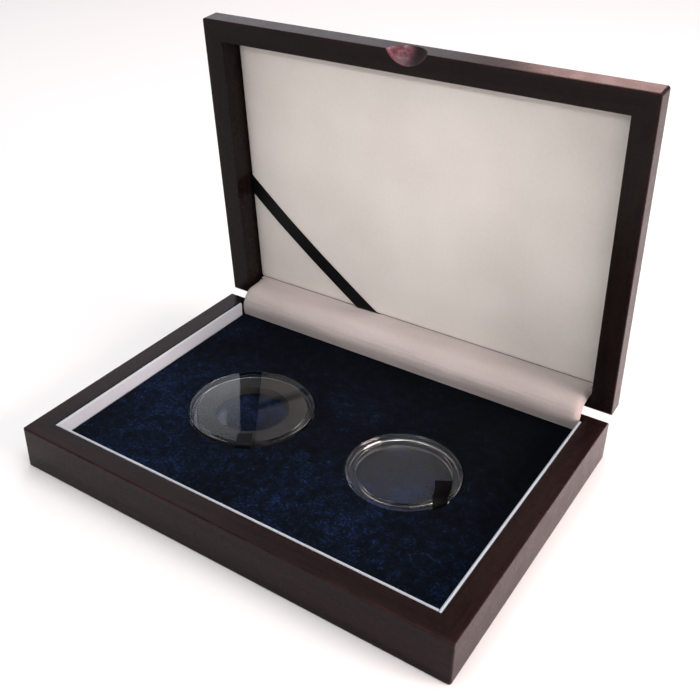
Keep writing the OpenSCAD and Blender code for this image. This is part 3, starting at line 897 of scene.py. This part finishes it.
def makeCapsules():
    shape = {"window": 1.4 * mm, "wall": 1.2 * mm, "fit": 0.05 * mm, "cupH": 3.2 * mm,
             "seat": 0.15 * mm, "spigotZ": 1.6 * mm, "edge": 0.25 * mm, "lipEdge": 0.05 * mm}
    soft = 0.12 * mm    # the small rounding of moulded edges
    spigots = {"left": 1.55 * mm, "right": 2.05 * mm}
    for side, w in wells.items():
        at, r, z0, z1 = (w["x"], w["y"]), w["r"], w["z"], w["top"]
        inner, cupTop, windowTop = r - shape["wall"], z0 + shape["cupH"], z0 + shape["window"]
        cup = easeProfile([
            (0, z0, 0), (r, z0, shape["edge"]), (r, cupTop, soft), (inner, cupTop, soft),
            (inner, windowTop, soft), (0, windowTop, 0)], steps=4)
        piece = turnShape("capsule_" + side + "_cup_clear", cup, at, acrylic)
        settle(piece, side + "_capsule", "capsule_" + side + "_cup")
        spigotOut, spigotIn = inner - shape["fit"], inner - spigots[side]
        lip, foot, under = cupTop + shape["seat"], z0 + shape["spigotZ"], z1 - shape["window"]
        cover = easeProfile([
            (0, z1, 0), (0, under, 0), (spigotIn, under, soft), (spigotIn, foot, soft),
            (spigotOut, foot, soft), (spigotOut, lip, shape["lipEdge"]), (r, lip, soft),
            (r, z1, shape["edge"])], steps=4)
        piece = turnShape("capsule_" + side + "_cover_clear", cover, at, acrylic)
        settle(piece, side + "_capsule_cover", "capsule_" + side + "_cover")
    low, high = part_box("capsule_left_ring")
    holeR, outR, edge = 13.9 * mm, (high.x - low.x) / 2, 0.2 * mm
    ring = easeProfile([(holeR, low.z, edge), (outR, low.z, edge), (outR, high.z, edge),
                        (holeR, high.z, edge)], steps=3)
    w = wells["left"]
    piece = turnShape("capsule_left_ring_foam", ring, (w["x"], w["y"]), foam)
    settle(piece, "left_capsule", "capsule_left_ring")


makeCapsules()
print("capsules made")


# -- ribbons: a flat band along a path, with its own width direction
def makeBand(name, path, acrossAt, width, thick, material, columns=8, cup=0.0):
    verts = []
    count = len(path)
    for i, p in enumerate(path):
        ahead = (path[min(i + 1, count - 1)] - path[max(i - 1, 0)]).normalized()
        across = acrossAt(i / (count - 1)).normalized()
        across = (across - ahead * across.dot(ahead)).normalized()
        normal = ahead.cross(across)
        for layer in (-0.5, 0.5):   # out along one face and back along the other
            for k in range(columns + 1):
                u = (k / columns - 0.5) * (1 if layer < 0 else -1)
                bow = cup * (4 * u * u - 1 / 3)
                verts.append(p + across * width * u + normal * (layer * thick + bow))
    faces = tube(count, 2 * (columns + 1))
    return cleanMesh(addPiece(name, verts, faces, material), sharpAngle=60)


def smoothPath(points, count):
    # Catmull-Rom through the points, evenly sampled
    pts = [Vector(p) for p in points]
    pts = [pts[0] * 2 - pts[1]] + pts + [pts[-1] * 2 - pts[-2]]
    dense = []
    for i in range(1, len(pts) - 2):
        for k in range(24):
            t = k / 24
            p0, p1, p2, p3 = pts[i - 1:i + 3]
            dense.append(0.5 * ((2 * p1) + (p2 - p0) * t + (2 * p0 - 5 * p1 + 4 * p2 - p3) * t * t
                                + (3 * p1 - p0 - 3 * p2 + p3) * t ** 3))
    dense.append(pts[-2])
    lengths = [0.0]
    for i in range(1, len(dense)):
        lengths.append(lengths[-1] + (dense[i] - dense[i - 1]).length)
    out, j = [], 0
    for k in range(count):
        goal = lengths[-1] * k / (count - 1)
        while j < len(lengths) - 2 and lengths[j + 1] < goal:
            j += 1
        part = (goal - lengths[j]) / max(lengths[j + 1] - lengths[j], 1e-12)
        out.append(dense[j].lerp(dense[j + 1], min(max(part, 0), 1)))
    return out


def makePullTabs():
    ribbon = {"width": 5.6 * mm, "thick": 0.35 * mm}
    # along each tab: distance from the capsule's side, height over its top, slip along
    # the rim, and the turn of its width away from the rim, in mm and degrees
    shapes = {
        "left": [(0.5, -5.8, 0, 0), (0.5, -3.0, 0, 0), (0.52, -0.8, 0, 0), (0.3, 0.15, 0, 0),
                 (-0.8, 0.35, 0, 0), (-3.2, 0.3, 0, 1), (-5.6, 0.28, 0, 2)],
        "right": [(0.5, -5.8, 0, 0), (0.5, -3.0, 0, 0), (0.5, -0.8, 0, -3), (0.15, 0.6, 0.1, -8),
                  (-0.15, 2.2, 0.4, -14), (-0.1, 4.2, 0.9, -20), (-0.3, 6.2, 1.3, -27),
                  (-0.7, 8.0, 1.6, -33)],
    }
    for side, w in wells.items():
        out = Vector((cos(w["turn"]), sin(w["turn"]), 0))
        tangent = Vector((-out.y, out.x, 0))
        middle = Vector((w["x"], w["y"], w["top"]))
        rows = shapes[side]
        path = smoothPath([middle + out * (w["r"] + d * mm) + tangent * (slip * mm)
                           + Vector((0, 0, h * mm)) for d, h, slip, t in rows], 48)
        turns = [radians(row[3]) for row in rows]

        def across(t):
            at = t * (len(turns) - 1)
            i = min(int(at), len(turns) - 2)
            angle = turns[i] + (turns[i + 1] - turns[i]) * (at - i)
            return tangent * cos(angle) - out * sin(angle)

        band = makeBand("pull_ribbon_" + side + "_satin", path, across,
                        ribbon["width"], ribbon["thick"], satin, cup=0.05 * mm)
        settle(band, side + "_capsule_cover", "pull_ribbon_" + side)
        if side == "right":   # the standing tab, which the lid presses flat when shut, gets a mesh of its own
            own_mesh(band)


makePullTabs()
print("pull ribbons made")


# -- padded panel in the lid, blown up a little by a cloth simulation
panel = {
    "grid": 2.2 * mm, "crown": 1.2 * mm, "frames": 20, "air": 0.4 * mm, "margin": 0.25 * mm,
    "thick": 1.7 * mm, "tuck": 0.3 * mm, "rise": 4 * mm, "lowest": 0.35 * mm,
    "cloth": {"quality": 6, "use_pressure": True, "uniform_pressure_force": 4.0,
              "vertex_group_mass": "held", "tension_stiffness": 8,
              "compression_stiffness": 8, "shear_stiffness": 3, "bending_stiffness": 0.4},
}


def makePanelPad():
    x1 = inX - panel["air"] - panel["margin"]
    x0 = -x1
    y0, y1 = inFront + panel["air"] + panel["margin"], inRear - case["lip"] - panel["tuck"]
    face = lidZ + case["panelDrop"]          # closed lid: the cloth faces down
    backZ = face + panel["thick"]
    nx, ny = int((x1 - x0) / panel["grid"]), int((y1 - y0) / panel["grid"])
    verts, faces = [], []

    def crown(x, y):
        # distance to the nearest edge sets how far the padding has risen
        near = min(x - x0, x1 - x, y - y0, y1 - y)
        rise = 1 - exp(-near / panel["rise"])
        return backZ - (backZ - face - 0.1 * mm) * (0.5 + 0.45 * rise)

    for j in range(ny + 1):
        for i in range(nx + 1):
            x, y = x0 + (x1 - x0) * i / nx, y0 + (y1 - y0) * j / ny
            verts.append(Vector((x, y, crown(x, y))))
    for j in range(ny):
        for i in range(nx):
            k = j * (nx + 1) + i
            faces.append((k, k + nx + 1, k + nx + 2, k + 1))
    # the back has the same grid, and the sides join the two
    front = len(verts)
    verts += [Vector((v.x, v.y, backZ)) for v in verts[:front]]
    faces += [tuple(front + k for k in reversed(face)) for face in faces[:]]
    border = list(range(nx + 1))
    border += [j * (nx + 1) + nx for j in range(1, ny + 1)]
    border += [ny * (nx + 1) + i for i in reversed(range(nx))]
    border += [j * (nx + 1) for j in reversed(range(1, ny))]
    for k in range(len(border)):
        n = border[(k + 1) % len(border)]
        faces.append((border[k], n, front + n, front + border[k]))
    piece = addPiece("panel_pad_cloth", verts, faces, creamCloth)
    cleanMesh(piece, sharpAngle=180)
    held = piece.vertex_groups.new(name="held")
    for v in piece.data.vertices:
        near = min(v.co.x - x0, x1 - v.co.x, v.co.y - y0, y1 - v.co.y)
        if v.co.z > backZ - 0.2 * mm or near < 0.3 * mm:
            held.add([v.index], 1.0, "REPLACE")
    cloth = piece.modifiers.new("swell", "CLOTH")
    for name, value in panel["cloth"].items():
        setattr(cloth.settings, name, value)
    cloth.settings.effector_weights.gravity = 0
    cloth.collision_settings.use_collision = False
    scene = bpy.context.scene
    rest = [v.co.copy() for v in piece.data.vertices]
    scene.frame_set(1)
    for number in range(2, panel["frames"] + 1):
        scene.frame_set(number)
    graph = bpy.context.evaluated_depsgraph_get()
    swollen = piece.evaluated_get(graph).data
    moved = [v.co.copy() for v in swollen.vertices]
    scene.frame_set(1)
    piece.modifiers.clear()
    for v, before, after in zip(piece.data.vertices, rest, moved):
        step = after - before
        if step.length > panel["crown"]:
            step = step.normalized() * panel["crown"]
        v.co = before + step
        v.co.z = max(v.co.z, face - panel["lowest"])
    piece.data.update()
    smoother = piece.modifiers.new("smooth", "SUBSURF")
    smoother.levels = smoother.render_levels = 1
    applyModifiers(piece)
    for polygon in piece.data.polygons:
        polygon.use_smooth = True
    piece.matrix_world = lidPose
    settle(piece, "lid", "panel_pad")
    return piece


panelPad = makePanelPad()
print("lid panel padded")


# depth of the finished panel's face at a place, in the shut lid's frame
def panelFace(x, y):
    hit, at, *_ = panelPad.ray_cast(Vector((x, y, lidZ)), Vector((0, 0, 1)))
    return at.z if hit else lidZ + case["panelDrop"] + 1 * mm


def makeCertificateRibbon():
    strap = {"width": 6 * mm, "thick": 0.35 * mm, "from": (-76.4, 9.2), "to": (-21.9, 54.9),
             "extra": 7 * mm, "count": 80}
    a, b = (Vector((x * mm, y * mm, 0)) for x, y in (strap["from"], strap["to"]))
    along = (b - a).normalized()
    across = Vector((-along.y, along.x, 0))
    a, b = a - along * strap["extra"], b + along * strap["extra"]
    side, rear = -inX + panel["air"] + 0.1 * mm, inRear - case["lip"] - panel["tuck"]
    inset = 0.8 * mm
    path = []
    for i in range(strap["count"] + 1):
        p = a.lerp(b, i / strap["count"])
        z = min(panelFace(max(p.x + across.x * w * mm, side + inset),
                          min(p.y + across.y * w * mm, rear - inset)) for w in (-2.5, 0, 2.5))
        path.append(Vector((p.x, p.y, z - 0.25 * mm)))
    band = makeBand("certificate_ribbon_satin", path, lambda t: across,
                    strap["width"], strap["thick"], satin, cup=-0.06 * mm)
    # both ends fold over the panel's edges and tuck down behind them
    deepest = 2.2 * mm
    for v in band.data.vertices:
        for over, axis, edge in ((side - v.co.x, 0, side), (v.co.y - rear, 1, rear)):
            if over > 0:
                v.co[axis] = edge
                v.co.z += min(over, deepest)
    cleanMesh(band, sharpAngle=60)
    band.matrix_world = lidPose
    settle(band, "lid", "certificate_ribbon")


makeCertificateRibbon()
print("certificate ribbon made")


# -- cloth over the hinge joint: one sheet from the base's wall to the lid's wall
def makeHingeCover():
    cover = {"thick": 0.8 * mm, "glue": 0.1 * mm, "half": 75.6 * mm, "columns": 120,
             "foot": 12, "bend": 22, "top": 16,   # rows below the pin, round it and on the lid
             "reach": 9.7 * mm, "bulge": 1.5 * mm, "crown": 1.15 * mm, "lap": 0.15 * mm,
             "fold": 0.28 * mm, "endRound": 4 * mm, "endTurn": 1.8 * mm}
    r0 = pin.y - (inRear - cover["glue"])
    wallEnd = sideTop - pin.z - 0.15 * mm      # where the lid's rear wall meets its top
    ledgeY = inRear - case["lip"] - 0.02 * mm
    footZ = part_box("velvet_cover")[1].z

    # side view of the outer (hidden) and inner (seen) faces, y and z
    def section(seenSide):
        line = []
        radius = r0 + (cover["thick"] if seenSide else 0)
        zLow = case["floor"] + 0.2 * mm
        for k in range(cover["foot"] + 1):
            z = zLow + (pin.z - zLow) * k / cover["foot"]
            rise = max(0, (z - footZ) / (pin.z - footZ))
            swell = cover["bulge"] * sin(min(rise, 1) * pi / 2) * seenSide
            line.append((pin.y - radius - swell, z))
        for k in range(1, cover["bend"] + 1):
            t = k / cover["bend"]
            full = radius + seenSide * (cover["bulge"] * (1 - t) + cover["crown"] * t)
            angle = openAngle * t
            line.append((pin.y - full * cos(angle), pin.z + full * sin(angle)))
        c, s = cos(openAngle), sin(openAngle)
        for k in range(1, cover["top"] + 1):
            d = cover["reach"] * k / cover["top"]
            if seenSide:
                u = min(d / (case["panelDrop"] + 0.15 * mm), 1)
                hump = cos(u * pi / 2) ** 2
                y = -radius - cover["crown"] * hump - cover["lap"] * (1 - hump)
            else:
                y = -radius if d < wallEnd else ledgeY - pin.y
            line.append((pin.y + c * y + s * d, pin.z - s * y + c * d))
        return line

    seen, hidden = section(1), section(0)
    profile = seen + hidden[::-1]
    ring = len(profile)
    verts = []
    for i in range(cover["columns"] + 1):
        x = -cover["half"] + 2 * cover["half"] * i / cover["columns"]
        endFade = min(1, (cover["half"] - abs(x)) / cover["endRound"])
        for k, (y, z) in enumerate(profile):
            p = Vector((x, y, z))
            if k < len(seen):
                outward = Vector((0, y - pin.y, max(z - pin.z, 0))).normalized()
                crease = noise.fractal(Vector((x * 30, k * 0.07, 3.1)), 0.7, 2.2, 3)
                tipFade = min(1, (len(seen) - 1 - k) / 4) * min(1, k / 4)
                p += outward * (crease * cover["fold"] * endFade * tipFade)
                if endFade < 1:   # the ends of the roll are turned in round
                    turnIn = 1 - sqrt(max(0, 1 - (1 - endFade) ** 2))
                    aboveFoot = min(1, max(0, (k - 8) / 6))
                    p -= outward * (turnIn * cover["endTurn"] * tipFade * aboveFoot)
            verts.append(p)
    faces = tube(cover["columns"] + 1, ring)
    piece = cleanMesh(addPiece("hinge_cover_cloth", verts, faces, shadedCreamCloth), sharpAngle=60)
    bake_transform(piece)
    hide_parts("hinge_cover")


makeHingeCover()
print("hinge cover made")

# -- what the frame already shapes well only takes its finish
finishes = (
    (floorBoard, "base_floor"), (coreCard, "insert_core"), (panelCard, "panel_board"),
    (brass, "hinge_leaf_base_left", "hinge_leaf_base_right", "hinge_leaf_lid_left",
     "hinge_leaf_lid_right"),
    (screwBrass, "hinge_screws_base", "hinge_screws_lid"),
    (steel, "hinge_pin_left", "hinge_pin_right"),
)
for material, *names in finishes:
    for name in names:
        nodes[name].data.materials.clear()
        nodes[name].data.materials.append(material)
